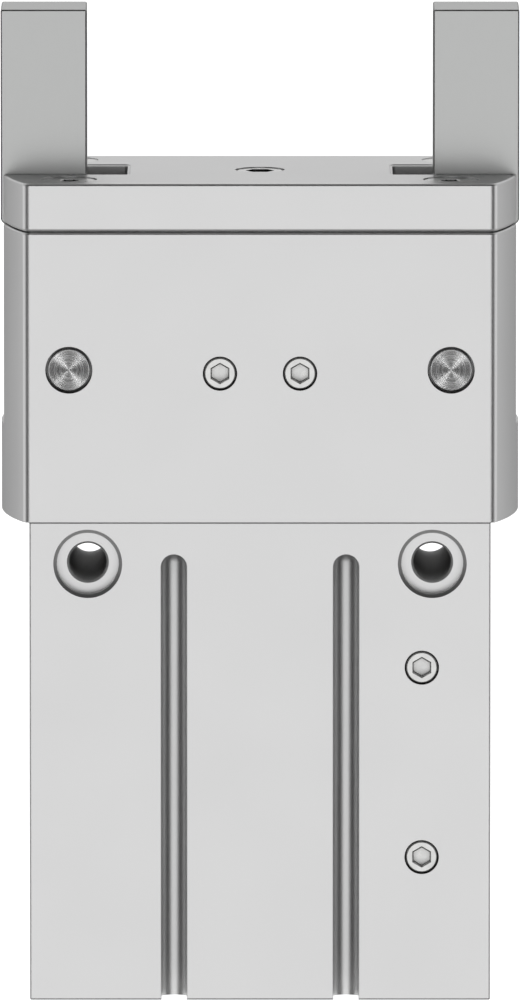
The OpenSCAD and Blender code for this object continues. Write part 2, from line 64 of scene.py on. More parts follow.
BODY_LOW, BODY_HIGH = node_box("cylinder_body")
HOUSING_LOW, HOUSING_HIGH = node_box("housing")
PLATE_HIGH = node_box("top_plate")[1]
JAW_HIGH = node_box("jaw_right")[1]
PIN_LOW, PIN_HIGH = node_box("pivot_pin_right")
GUIDE_LOW, GUIDE_HIGH = node_box("guide_screws")
PORT_PLUG_LOW, PORT_PLUG_HIGH = node_box("port_plugs")
PLATE_SCREW_LOW, PLATE_SCREW_HIGH = node_box("plate_screws")
PLUG_LOW, PLUG_HIGH = node_box("plate_plug")
CAP_LOW = node_box("end_cap")[0]
BUSH_LOW, BUSH_HIGH = node_box("rod_bush")
RING_LOW, RING_HIGH = node_box("retaining_ring")
SEAL_HIGH = node_box("rod_seal")[1]
HOUSING_SCREW_HIGH = node_box("housing_screws")[1]

FRONT_Y = BODY_LOW.y
BACK_Y = BODY_HIGH.y
SIDE_X = BODY_HIGH.x
BODY_TOP = BODY_HIGH.z
HOUSING_TOP = HOUSING_HIGH.z
PLATE_TOP = PLATE_HIGH.z
JAW_TOP = JAW_HIGH.z
PIVOT_X = (PIN_LOW.x + PIN_HIGH.x) / 2
PIVOT_Z = (PIN_LOW.z + PIN_HIGH.z) / 2
PIN_R = (PIN_HIGH.x - PIN_LOW.x) / 2
PORT_X = (PORT_PLUG_LOW.x + PORT_PLUG_HIGH.x) / 2
SET_SCREW_R = (PORT_PLUG_HIGH.x - PORT_PLUG_LOW.x) / 2
PORT_HEIGHTS = (PORT_PLUG_LOW.z + SET_SCREW_R, PORT_PLUG_HIGH.z - SET_SCREW_R)
GUIDE_X = GUIDE_HIGH.x - SET_SCREW_R
GUIDE_Z = (GUIDE_LOW.z + GUIDE_HIGH.z) / 2
CROSS_HOLE_X = MOUNTS["cross_hole_right"]["pos_m"][0] / MM
CROSS_HOLE_Z = MOUNTS["cross_hole_right"]["pos_m"][2] / MM
CROSS_HOLE_R = MOUNTS["cross_hole_right"]["dims"]["r_mm"]
SEAT_R = MOUNTS["front_seat_right"]["dims"]["r_mm"]
BASE_DIMS = MOUNTS["base_threads"]["dims"]
JAW_THREADS = MOUNTS["jaw_threads_right"]

# ---------------------------------------------------------------- sizes of the details

BODY_CORNER_R = 0.28
BODY_TOP_R = 0.15
BODY_BASE_R = 0.3

HOUSING_FRONT_HALF = 34.1
HOUSING_SIDE_HALF = JAW_HIGH.x
HOUSING_CORNER_R = 1.25
HOUSING_TOP_R = 0.3
HOUSING_BASE_R = 0.1

SEAM_GAP = 0.15
SEAM_INSET = 1.2
PLATE_EDGE_R = 0.42
PLATE_BOTTOM_R = 0.5

HOUSING_SCREW_R = 2.0
HOUSING_SCREW_HOLE_R = 2.2
HOUSING_SCREW_HEAD_R = 3.5
HOUSING_SCREW_SINK_R = 3.75
HOUSING_SCREW_SINK_DEPTH = 5
HOUSING_SCREW_TAP_Z = 55
HOUSING_SCREW_X = HOUSING_SCREW_HIGH.x - HOUSING_SCREW_HEAD_R
HOUSING_SCREW_Y = HOUSING_SCREW_HIGH.y - HOUSING_SCREW_HEAD_R

PLATE_SCREW_X = 27.7
PLATE_SCREW_Y = 13.2
PLATE_SCREW_R = 2.0
PLATE_SCREW_HOLE_R = 2.2
PLATE_SCREW_TAP_Z = 97.5
PLATE_SINK_R = 4.05
PLATE_SINK_DEPTH = 2.0
PLATE_SINK_WALL = 0.15
PLUG_HOLE_R = 3.6

SLOT_HALF = 6.5
PLATE_SLOT_X = 19.3
PLATE_SLOT_REACH = 5
PLATE_SLOT_STEP = 0.12
PLATE_SLOT_LEDGE = 0.34
PLATE_SLOT_LEDGE_DROP = 0.11
PLATE_SLOT_CORNER_R = 0.5
RACK_POCKET_X = 20.3
GEAR_POCKET_X = 32.5
CAVITY_FLOOR = 73.0
GEAR_POCKET_FLOOR = 81.5
SIDE_SLOT_FLOOR = 83.0
ROD_HOLE_R = 6.0

SEAT_DEPTH = 2.1
SEAT_CHAMFER = 0.5
SEAT_CHAMFER_SLOPE = 0.58
HOLE_SINK_R = 3.05
HOLE_SINK_DEPTH = 0.3
CROSS_THREAD_PITCH = 1.0
CROSS_THREAD_DEPTH = 0.25
CROSS_THREAD_RUNOUT = 0.2

SENSOR_SLOT_X = 12.5
SENSOR_SLOT_HALF = 1.85
SENSOR_SLOT_TOP = 65.3
SENSOR_CHANNEL_R = 2.1
SENSOR_CHANNEL_DEPTH = 3.1
SENSOR_MOUTH_ROUND = 0.1

BORE_R = 16.0
BORE_TOP = 51.0
BORE_CHAMFER = 0.8
RING_GROOVE_FLOOR_GAP = 0.1
RING_GROOVE_RIM_GAP = 0.2
SEAL_GAP = 0.1
PIN_MOUTH_R = 3.42
PIN_MOUTH_DEPTH = 4.0
THREAD_R = 2.1
THREAD_PITCH = 0.8
THREAD_DEPTH = 0.38
THREAD_ROOT_GAP = 0.02
THREAD_RUNOUT = 0.1
BASE_THREAD_DEPTH = 9
BASE_THREAD_CHAMFER = 0.4
PORT_THREAD_DEPTH = 7.5
PORT_THREAD_CHAMFER = 0.45
PORT_DRILL_R = 1.25
PORT_DRILL_START = 7
PORT_CHAMBER_END = 12.5
FRONT_PORT_END_Y = -13

# How far a cutter reaches past the surface that it cuts.
OVER = 1.0
# Facets around a turned shape.
FINEST = 128
FINE = 96
COARSE = 48


# ---------------------------------------------------------------- mesh tools

def mesh_object(name, bm):
    """Turns a bmesh into a linked object and frees it."""
    bmesh.ops.remove_doubles(bm, verts=bm.verts, dist=1e-5)
    bmesh.ops.recalc_face_normals(bm, faces=bm.faces)
    mesh = bpy.data.meshes.new(name)
    bm.to_mesh(mesh)
    bm.free()
    obj = bpy.data.objects.new(name, mesh)
    bpy.context.scene.collection.objects.link(obj)
    return obj


def lofted(name, loops, fanned=False):
    """Closed solid through loops of equally many points, capped at both ends, by a fan where asked."""
    bm = bmesh.new()
    rings = [[bm.verts.new(p) for p in loop] for loop in loops]
    count = len(rings[0])
    for lower, upper in zip(rings, rings[1:]):
        for i in range(count):
            j = (i + 1) % count
            bm.faces.new((lower[i], lower[j], upper[j], upper[i]))
    caps = [bm.faces.new(list(reversed(rings[0]))), bm.faces.new(rings[-1])]
    if fanned:
        bmesh.ops.poke(bm, faces=caps)
    return mesh_object(name, bm)


def turned(name, profile, segments=FINE):
    """Solid of revolution around +Z from (radius, height) points that start and end on the axis."""
    bm = bmesh.new()
    rings = []
    for radius, height in profile:
        if radius < 1e-9:
            rings.append([bm.verts.new((0, 0, height))])
            continue
        steps = [2 * math.pi * i / segments for i in range(segments)]
        rings.append([bm.verts.new((radius * math.cos(a), radius * math.sin(a), height)) for a in steps])
    for lower, upper in zip(rings, rings[1:]):
        for i in range(segments):
            j = (i + 1) % segments
            corners = [lower[i % len(lower)], lower[j % len(lower)],
                       upper[j % len(upper)], upper[i % len(upper)]]
            unique = list(dict.fromkeys(corners))
            if len(unique) > 2:
                bm.faces.new(unique)
    return mesh_object(name, bm)


def extruded(name, outline, low, high):
    """Prism of an outline of (x, z) points between two depths along Y."""
    return lofted(name, [[(x, y, z) for x, z in outline] for y in (low, high)])


def place(obj, matrix):
    """Moves the mesh itself, so that the object keeps its origin at the frame's origin."""
    obj.data.transform(matrix)
    if matrix.determinant() < 0:
        obj.data.flip_normals()
    return obj


def along_y(x, z):
    """Matrix that lays a shape made around +Z along +Y through (x, z)."""
    return Matrix.Translation((x, 0, z)) @ Matrix.Rotation(math.radians(-90), 4, "X")


def along_x(y, z):
    """Matrix that lays a shape made around +Z along +X through (y, z)."""
    return Matrix.Translation((0, y, z)) @ Matrix.Rotation(math.radians(90), 4, "Y")


def bar(name, matrix, low, high, radius, segments=COARSE):
    """Plain round bar between two heights of its own axis, used to drill holes."""
    profile = [(0, low), (radius, low), (radius, high), (0, high)]
    return place(turned(name, profile, segments), matrix)


def mirrored(obj, name, axis):
    """Copy of an object, mirrored through the origin along an axis."""
    copy = bpy.data.objects.new(name, obj.data.copy())
    bpy.context.scene.collection.objects.link(copy)
    return place(copy, Matrix.Scale(-1, 4, axis))


def combine(obj, others, operation):
    """Applies one boolean of several closed solids to obj, and removes them."""
    group = bpy.data.collections.new("operands")
    bpy.context.scene.collection.children.link(group)
    for other in others:
        bpy.context.scene.collection.objects.unlink(other)
        group.objects.link(other)
    modifier = obj.modifiers.new("combine", "BOOLEAN")
    modifier.operation = operation
    modifier.operand_type = "COLLECTION"
    modifier.collection = group
    modifier.solver = "MANIFOLD"
    graph = bpy.context.evaluated_depsgraph_get()
    result = bpy.data.meshes.new_from_object(obj.evaluated_get(graph))
    obj.modifiers.clear()
    old = obj.data
    obj.data = result
    bpy.data.meshes.remove(old)
    for other in others:
        bpy.data.meshes.remove(other.data)
    bpy.data.collections.remove(group)
    return obj


def arc_outline(arcs):
    """Outline of (point, normal) pairs from arcs of (centre, radius, first angle, last angle, steps)."""
    pairs = []
    for (cx, cy), radius, first, last, steps in arcs:
        for i in range(steps + 1):
            angle = math.radians(first + (last - first) * i / steps)
            normal = Vector((math.cos(angle), math.sin(angle)))
            point = Vector((cx, cy)) + radius * normal
            if not pairs or (point - pairs[-1][0]).length > 1e-6:
                pairs.append((point, normal))
    return pairs


def rounded_rectangle(half_x, half_y, radius, steps=8):
    """Rectangle around the origin with rounded corners."""
    x, y = half_x - radius, half_y - radius
    return arc_outline([((x, -y), radius, -90, 0, steps), ((x, y), radius, 0, 90, steps),
                        ((-x, y), radius, 90, 180, steps), ((-x, -y), radius, 180, 270, steps)])


def round_sided_outline(corner_r, corner_steps=10, side_steps=40):
    """Plan of the housing: flat front and back, round sides, rounded corners."""
    rise = HOUSING_SIDE_HALF - HOUSING_FRONT_HALF
    side_r = (BACK_Y ** 2 + rise ** 2) / (2 * rise)
    side_x = HOUSING_SIDE_HALF - side_r
    corner_y = BACK_Y - corner_r
    reach = math.sqrt((side_r - corner_r) ** 2 - corner_y ** 2)
    corner_x = side_x + reach
    turn = math.degrees(math.atan2(corner_y, reach))
    return arc_outline([
        ((corner_x, -corner_y), corner_r, -90, -turn, corner_steps),
        ((side_x, 0), side_r, -turn, turn, side_steps),
        ((corner_x, corner_y), corner_r, turn, 90, corner_steps),
        ((-corner_x, corner_y), corner_r, 90, 180 - turn, corner_steps),
        ((-side_x, 0), side_r, 180 - turn, 180 + turn, side_steps),
        ((-corner_x, -corner_y), corner_r, 180 + turn, 270, corner_steps),
    ])


def inset_loop(outline, inset, z):
    """Outline at a height, moved inwards along its normals."""
    return [(p.x - inset * n.x, p.y - inset * n.y, z) for p, n in outline]


def round_edged_layers(outline, low, high, low_r, high_r, steps=5):
    """Loops of a prism whose lower and upper edges are rounded."""
    loops = []
    turns = [math.radians(90 * i / steps) for i in range(steps + 1)]
    for a in turns:
        loops.append(inset_loop(outline, low_r * (1 - math.sin(a)), low + low_r * (1 - math.cos(a))))
    for a in turns:
        loops.append(inset_loop(outline, high_r * (1 - math.cos(a)), high - high_r * (1 - math.sin(a))))
    return loops


def finish(obj, body, nodes, material, sharp=28.0):
    """Scales a piece to metres, gives it shading and finish, and lets it ride in place of its CAD nodes."""
    obj.data.transform(Matrix.Scale(MM, 4))
    mesh = obj.data
    mesh.polygons.foreach_set("use_smooth", [True] * len(mesh.polygons))
    mesh.set_sharp_from_angle(angle=math.radians(sharp))
    mesh.materials.clear()
    mesh.materials.append(material)
    modifier = obj.modifiers.new("flat_faces", "WEIGHTED_NORMAL")
    modifier.keep_sharp = True
    modifier.weight = 100
    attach(obj, body)
    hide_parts(*nodes)
    return obj


# ---------------------------------------------------------------- materials

# Noise scales are per metre, and depths of relief are in metres.
BLAST_GRAIN = 9000.0
ANODISE_CLOUD = 60.0
GRINDING_GRAIN = 30.0
ZINC_CLOUD = 900.0
ZINC_GRAIN = 6000.0
MOULDED_SPECKLE = 2500.0
TURNING_RINGS = 3600.0
FINE_RELIEF = 0.00002
MOULDED_RELIEF = 0.00005

# Painted shade in recesses: each stop is how open a point is, and the share of its colour that it keeps.
RECESS_SHADE_REACH = 0.012
RECESS_SHADE_STOPS = ((0.0, 0.3), (0.12, 0.65), (0.35, 1.0))
# Darkest painted shade, for the sockets of the plate screws and the plate plug.
DEEP_SOCKET_SHADE_STOPS = ((0.0, 0.03), (0.58, 0.08), (0.85, 1.0))
# Painted shade for the sockets of the set screws.
SOCKET_SHADE_STOPS = ((0.0, 0.2), (0.18, 0.4), (0.36, 0.85))
SATIN_METALLIC = 0.97


class Material:
    """Node material with short calls for what every finish here needs."""

    def __init__(self, name, colour, metallic, roughness):
        self.material = bpy.data.materials.new(name)
        self.material.use_nodes = True
        self.tree = self.material.node_tree
        self.shader = self.tree.nodes["Principled BSDF"]
        self.shader.inputs["Base Color"].default_value = (*colour, 1.0)
        self.shader.inputs["Metallic"].default_value = metallic
        self.shader.inputs["Roughness"].default_value = roughness
        self.place = self.node("ShaderNodeTexCoord").outputs["Object"]

    def node(self, kind, **settings):
        made = self.tree.nodes.new(kind)
        for key, value in settings.items():
            setattr(made, key, value)
        return made

    def link(self, output, socket):
        self.tree.links.new(output, socket)

    def stretched(self, scale):
        """Object coordinates scaled separately along each axis."""
        mapping = self.node("ShaderNodeMapping")
        mapping.inputs["Scale"].default_value = scale
        self.link(self.place, mapping.inputs["Vector"])
        return mapping.outputs["Vector"]

    def noise(self, scale, detail=3.0, roughness=0.5, vector=None):
        texture = self.node("ShaderNodeTexNoise")
        texture.inputs["Scale"].default_value = scale
        texture.inputs["Detail"].default_value = detail
        texture.inputs["Roughness"].default_value = roughness
        self.link(self.place if vector is None else vector, texture.inputs["Vector"])
        return texture.outputs["Fac"]

    def ramp(self, value, low, high, to_low, to_high):
        """Linear change of a value from one range to another."""
        node = self.node("ShaderNodeMapRange")
        sockets = ("From Min", "From Max", "To Min", "To Max")
        for socket, number in zip(sockets, (low, high, to_low, to_high)):
            node.inputs[socket].default_value = number
        self.link(value, node.inputs["Value"])
        return node.outputs["Result"]

    def math(self, operation, a, b):
        node = self.node("ShaderNodeMath", operation=operation)
        for socket, value in zip(node.inputs, (a, b)):
            if isinstance(value, (int, float)):
                socket.default_value = value
            else:
                self.link(value, socket)
        return node.outputs["Value"]

    def blend(self, factor, first, second):
        node = self.node("ShaderNodeMix", data_type="RGBA")
        self.link(factor, node.inputs["Factor"])
        node.inputs["A"].default_value = (*first, 1.0)
        node.inputs["B"].default_value = (*second, 1.0)
        return node.outputs["Result"]

    def bump(self, height, strength, distance):
        node = self.node("ShaderNodeBump")
        node.inputs["Strength"].default_value = strength
        node.inputs["Distance"].default_value = distance
        self.link(height, node.inputs["Height"])
        self.link(node.outputs["Normal"], self.shader.inputs["Normal"])

    def socket(self, name):
        return self.shader.inputs[name]

    def painted_recess_shade(self, colour, stops=RECESS_SHADE_STOPS):
        """Paints shade into a colour deep inside narrow gaps and bores, darker where a point is more
        enclosed.
        """
        hidden = self.node("ShaderNodeAmbientOcclusion", samples=8)
        hidden.inputs["Distance"].default_value = RECESS_SHADE_REACH
        factor = self.node("ShaderNodeValToRGB")
        ramp = factor.color_ramp
        ramp.elements.new(0.5)
        for element, (place, light) in zip(ramp.elements, stops):
            element.position = place
            element.color = (light, light, light, 1.0)
        self.link(hidden.outputs["AO"], factor.inputs["Fac"])
        product = self.node("ShaderNodeMix", data_type="RGBA", blend_type="MULTIPLY")
        product.inputs["Factor"].default_value = 1.0
        self.link(colour, product.inputs["A"])
        self.link(factor.outputs["Color"], product.inputs["B"])
        self.link(product.outputs["Result"], self.socket("Base Color"))


def shade(colour, factor):
    """Lighter or darker version of a colour."""
    return tuple(channel * factor for channel in colour)


def satin_aluminium(name, colour, roughness):
    """Clear anodised aluminium: a fine blasted grain with faint cloudy change in gloss."""
    m = Material(name, colour, SATIN_METALLIC, roughness)
    grain = m.noise(BLAST_GRAIN, 4.0, 0.6)
    cloud = m.noise(ANODISE_CLOUD, 3.0)
    # The cloudy colour gets painted shade in its recesses.
    m.painted_recess_shade(m.blend(m.ramp(cloud, 0.3, 0.7, 0.0, 1.0), shade(colour, 0.99), shade(colour, 1.01)))
    m.link(m.ramp(cloud, 0.3, 0.7, roughness - 0.01, roughness + 0.01), m.socket("Roughness"))
    m.bump(grain, 0.04, FINE_RELIEF)
    return m.material


def ground_steel(name, colour, roughness, scale=(400.0, 400.0, 12.0)):
    """Steel with fine grinding lines along one axis."""
    m = Material(name, colour, SATIN_METALLIC, roughness)
    lines = m.noise(GRINDING_GRAIN, 6.0, 0.65, m.stretched(scale))
    # The lined colour gets painted shade in its recesses.
    m.painted_recess_shade(m.blend(lines, shade(colour, 0.98), shade(colour, 1.02)))
    m.link(m.ramp(lines, 0.3, 0.7, roughness - 0.015, roughness + 0.015), m.socket("Roughness"))
    m.bump(lines, 0.02, FINE_RELIEF)
    return m.material


def bright_zinc(name, colour, roughness, stops):
    """Plated or blackened steel with a faintly mottled gloss, with shade painted into its recesses as set by
    the stops.
    """
    m = Material(name, colour, SATIN_METALLIC, roughness)
    cloud = m.noise(ZINC_CLOUD, 3.0)
    # The mottled colour gets painted shade in its recesses.
    m.painted_recess_shade(m.blend(cloud, shade(colour, 0.96), shade(colour, 1.03)), stops)
    m.link(m.ramp(cloud, 0.3, 0.7, roughness - 0.03, roughness + 0.05), m.socket("Roughness"))
    m.bump(m.noise(ZINC_GRAIN, 2.0), 0.03, FINE_RELIEF)
    return m.material


def soft_part(name, colour, roughness):
    """Rubber, plastic or magnet compound with a speckled, slightly rough skin."""
    m = Material(name, colour, 0.0, roughness)
    speckle = m.noise(MOULDED_SPECKLE, 4.0)
    m.link(m.blend(speckle, shade(colour, 0.8), shade(colour, 1.25)), m.socket("Base Color"))
    m.link(m.ramp(speckle, 0.3, 0.7, roughness - 0.08, roughness + 0.08), m.socket("Roughness"))
    m.bump(speckle, 0.15, MOULDED_RELIEF)
    return m.material


def turned_steel(name, colour, roughness):
    """Steel turned around Y: rings of slightly different gloss and a radial sheen."""
    m = Material(name, colour, 1.0, roughness)
    m.socket("Anisotropic").default_value = 0.5
    tangent = m.node("ShaderNodeTangent", direction_type="RADIAL", axis="Y")
    m.link(tangent.outputs["Tangent"], m.socket("Tangent"))
    position = m.node("ShaderNodeSeparateXYZ")
    m.link(m.place, position.inputs["Vector"])
    across = m.math("SUBTRACT", m.math("ABSOLUTE", position.outputs["X"], 0), PIVOT_X * MM)
    above = m.math("SUBTRACT", position.outputs["Z"], PIVOT_Z * MM)
    radius = m.math("SQRT", m.math("ADD", m.math("POWER", across, 2), m.math("POWER", above, 2)), 0)
    rings = m.node("ShaderNodeTexNoise", noise_dimensions="1D")
    rings.inputs["Scale"].default_value = TURNING_RINGS
    rings.inputs["Detail"].default_value = 1.0
    m.link(radius, rings.inputs["W"])
    even = m.ramp(rings.outputs["Fac"], 0.3, 0.7, 0.0, 1.0)
    # The ringed colour gets painted shade in its recesses.
    m.painted_recess_shade(m.blend(even, shade(colour, 0.86), shade(colour, 1.12)))
    m.link(m.ramp(rings.outputs["Fac"], 0.3, 0.7, roughness - 0.04, roughness + 0.04), m.socket("Roughness"))
    return m.material


MATERIALS = {
    "turned_steel": turned_steel("turned_steel", (0.84, 0.84, 0.84), 0.26),
    "anodised_aluminium": satin_aluminium("anodised_aluminium", (0.76, 0.76, 0.76), 0.34),
    "piston_aluminium": satin_aluminium("piston_aluminium", (0.76, 0.76, 0.77), 0.25),
    "jaw_steel": ground_steel("jaw_steel", (0.532, 0.538, 0.533), 0.33),
    "hardened_steel": ground_steel("hardened_steel", (0.46, 0.47, 0.48), 0.3),
    "ground_steel": ground_steel("ground_steel", (0.72, 0.72, 0.73), 0.2),
    "zinc_plated_steel": bright_zinc("zinc_plated_steel", (0.88, 0.88, 0.87), 0.3, SOCKET_SHADE_STOPS),
    "oiled_zinc": bright_zinc("oiled_zinc", (0.88, 0.88, 0.87), 0.3, DEEP_SOCKET_SHADE_STOPS),
    "black_steel": bright_zinc("black_steel", (0.10, 0.10, 0.11), 0.35, RECESS_SHADE_STOPS),
    "spring_steel": ground_steel("spring_steel", (0.22, 0.22, 0.23), 0.35),
    "bearing_bronze": ground_steel("bearing_bronze", (0.72, 0.48, 0.22), 0.3),
    "bearing_plastic": soft_part("bearing_plastic", (0.30, 0.22, 0.14), 0.5),
    "magnet_black": soft_part("magnet_black", (0.05, 0.05, 0.05), 0.5),
    "black_rubber": soft_part("black_rubber", (0.03, 0.03, 0.03), 0.6),
}


# ---------------------------------------------------------------- cylinder body

def cross_hole_cutter(name, x):
    """Through hole with a chamfered seat and a countersink at both ends, as one turned solid."""
    half = [
        (0, BACK_Y + OVER),
        (SEAT_R + SEAT_CHAMFER + OVER / SEAT_CHAMFER_SLOPE, BACK_Y + OVER),
        (SEAT_R, BACK_Y - SEAT_CHAMFER * SEAT_CHAMFER_SLOPE),
        (SEAT_R, BACK_Y - SEAT_DEPTH),
        (HOLE_SINK_R, BACK_Y - SEAT_DEPTH),
        (CROSS_HOLE_R, BACK_Y - SEAT_DEPTH - HOLE_SINK_DEPTH),
    ]
    profile = [(r, -h) for r, h in half] + list(reversed(half))
    return place(turned(name, profile), along_y(x, CROSS_HOLE_Z))


def sensor_slot_cutter(name, x):
    """Slot in the front face: a narrow mouth over a round channel, with a ball end at its top."""
    w, r = SENSOR_SLOT_HALF, SENSOR_CHANNEL_R
    arch_z = SENSOR_SLOT_TOP - w
    centre_y = FRONT_Y + SENSOR_CHANNEL_DEPTH
    meet = math.asin(w / r)
    arc_steps = 16
    mouth = SENSOR_MOUTH_ROUND
    profile = [(w + mouth + OVER, FRONT_Y - OVER), (w + mouth, FRONT_Y), (w, FRONT_Y + mouth)]
    for i in range(arc_steps + 1):
        angle = (math.pi - meet) * (1 - i / arc_steps)
        profile.append((r * math.sin(angle), centre_y + r * math.cos(angle)))
    profile[-1] = (0.0, centre_y + r)
    turn_steps = 24
    stations = [(1.0, 0.0, -OVER)]
    for i in range(turn_steps + 1):
        angle = math.pi * i / turn_steps
        stations.append((math.cos(angle), math.sin(angle), arch_z))
    stations.append((-1.0, 0.0, -OVER))
    bm = bmesh.new()
    rows = [[bm.verts.new((x + c * px, py, z + s * px)) for px, py in profile] for c, s, z in stations]
    for row, following in zip(rows, rows[1:]):
        for i in range(len(profile) - 1):
            bm.faces.new((row[i], row[i + 1], following[i + 1], following[i]))
    bm.faces.new([row[0] for row in rows])
    bm.faces.new(rows[0] + list(reversed(rows[-1]))[1:])
    return mesh_object(name, bm)


def thread_cutter(name, ends, thread, radius, depth, pitch, segments=COARSE):
    """Bar around +Z between two ends; its surface carries a helical ridge over the threaded stretch."""
    # Points of the ridge as shares of the pitch and of the depth.
    form = ((0.0, 0.0), (0.12, 0.0), (0.5, 1.0), (0.62, 1.0))
    low, high = thread
    root = radius - THREAD_ROOT_GAP
    turns = math.ceil((high - low) / pitch) + 1
    bm = bmesh.new()
    columns = []
    for i in range(segments + 1):
        share = i / segments
        angle = 2 * math.pi * (i % segments) / segments
        column = [(ends[0], root), (low, root)]
        for turn in range(-1, turns):
            for at, out in form:
                height = low + pitch * (turn + share + at)
                reach = radius + depth * out if out and low < height < high else root
                column.append((min(max(height, low), high), reach))
        column += [(high, root), (ends[1], root)]
        columns.append([bm.verts.new((reach * math.cos(angle), reach * math.sin(angle), height))
                        for height, reach in column])
    for first, second in zip(columns, columns[1:]):
        for k in range(len(first) - 1):
            bm.faces.new((first[k], second[k], second[k + 1], first[k + 1]))
    bmesh.ops.triangulate(bm, faces=bm.faces)
    for row in (0, -1):
        bm.faces.new([column[row] for column in columns[:-1]])
    return mesh_object(name, bm)


def tapped_hole(matrix, mouth, inner, chamfer):
    """Plain cutter with a chamfered mouth, and the thread cutter for the same hole."""
    way = 1 if mouth > inner else -1
    radius = THREAD_R
    profile = [(0, inner), (radius, inner), (radius, mouth - way * chamfer),
               (radius + chamfer + OVER, mouth + way * OVER), (0, mouth + way * OVER)]
    plain = place(turned("cut_tapped", profile, COARSE), matrix)
    thread = sorted((inner + way * THREAD_PITCH / 2, mouth - way * 1.2 * chamfer))
    ends = (thread[0] - THREAD_RUNOUT, thread[1] + THREAD_RUNOUT)
    ridge = thread_cutter("cut_thread", ends, thread, radius, THREAD_DEPTH, THREAD_PITCH)
    return plain, place(ridge, matrix)


def make_cylinder_body():
    """Body with its bore, sensor slots, cross holes, ports, base threads and screw holes."""
    outline = rounded_rectangle(SIDE_X, BACK_Y, BODY_CORNER_R)
    body = lofted("cylinder_body_shell",
                  round_edged_layers(outline, 0.0, BODY_TOP, BODY_BASE_R, BODY_TOP_R), fanned=True)
    cuts = []
    threads = []
    groove_r = RING_HIGH.x + RING_GROOVE_RIM_GAP
    groove_z = RING_LOW.z - RING_GROOVE_FLOOR_GAP
    seal_r = SEAL_HIGH.x + SEAL_GAP
    bore = [(0, -OVER), (BORE_R + BORE_CHAMFER + OVER, -OVER), (BORE_R, BORE_CHAMFER), (BORE_R, groove_z),
            (groove_r, groove_z), (groove_r, CAP_LOW.z), (BORE_R, CAP_LOW.z),
            (BORE_R, BORE_TOP), (seal_r, BORE_TOP), (seal_r, BUSH_LOW.z),
            (BUSH_HIGH.x, BUSH_LOW.z), (BUSH_HIGH.x, BODY_TOP + OVER), (0, BODY_TOP + OVER)]
    cuts.append(turned("cut_bore", bore, FINEST))
    for side in (-1, 1):
        cuts.append(cross_hole_cutter("cut_cross", side * CROSS_HOLE_X))
        reach = BACK_Y - SEAT_DEPTH - HOLE_SINK_DEPTH
        thread = (CROSS_THREAD_RUNOUT - reach, reach - CROSS_THREAD_RUNOUT)
        ridge = thread_cutter("cut_cross_thread", (-reach, reach), thread, CROSS_HOLE_R,
                              CROSS_THREAD_DEPTH, CROSS_THREAD_PITCH)
        threads.append(place(ridge, along_y(side * CROSS_HOLE_X, CROSS_HOLE_Z)))
        front = sensor_slot_cutter("cut_slot", side * SENSOR_SLOT_X)
        cuts.append(front)
        cuts.append(mirrored(front, "cut_slot_back", (0, 1, 0)))
        for fore in (-1, 1):
            x = side * BASE_DIMS["spacing_x_mm"] / 2
            y = fore * BASE_DIMS["spacing_y_mm"] / 2
            spot = Matrix.Translation((x, y, 0))
            plain, ridge = tapped_hole(spot, 0, BASE_THREAD_DEPTH, BASE_THREAD_CHAMFER)
            cuts.append(plain)
            threads.append(ridge)
            spot = Matrix.Translation((side * HOUSING_SCREW_X, fore * HOUSING_SCREW_Y, 0))
            cuts.append(bar("cut_screw", spot, HOUSING_SCREW_TAP_Z, BODY_TOP + OVER, HOUSING_SCREW_R))
    for z in PORT_HEIGHTS:
        plain, ridge = tapped_hole(along_x(0, z), SIDE_X, SIDE_X - PORT_THREAD_DEPTH, PORT_THREAD_CHAMFER)
        cuts.append(plain)
        threads.append(ridge)
        drill_end = SIDE_X - PORT_DRILL_START
        cuts.append(bar("cut_drill", along_x(0, z), 0, drill_end, PORT_DRILL_R))
        cuts.append(bar("cut_port", along_x(0, z), SIDE_X - PORT_CHAMBER_END, drill_end, THREAD_R))
        cuts.append(bar("cut_front_port", along_y(PORT_X, z), FRONT_Y - OVER, FRONT_PORT_END_Y,
                        SET_SCREW_R, FINE))
    combine(body, cuts, "DIFFERENCE")
    combine(body, threads, "DIFFERENCE")
    return finish(body, "gripper_body", ["cylinder_body"],
                  MATERIALS["anodised_aluminium"])


# ---------------------------------------------------------------- housing

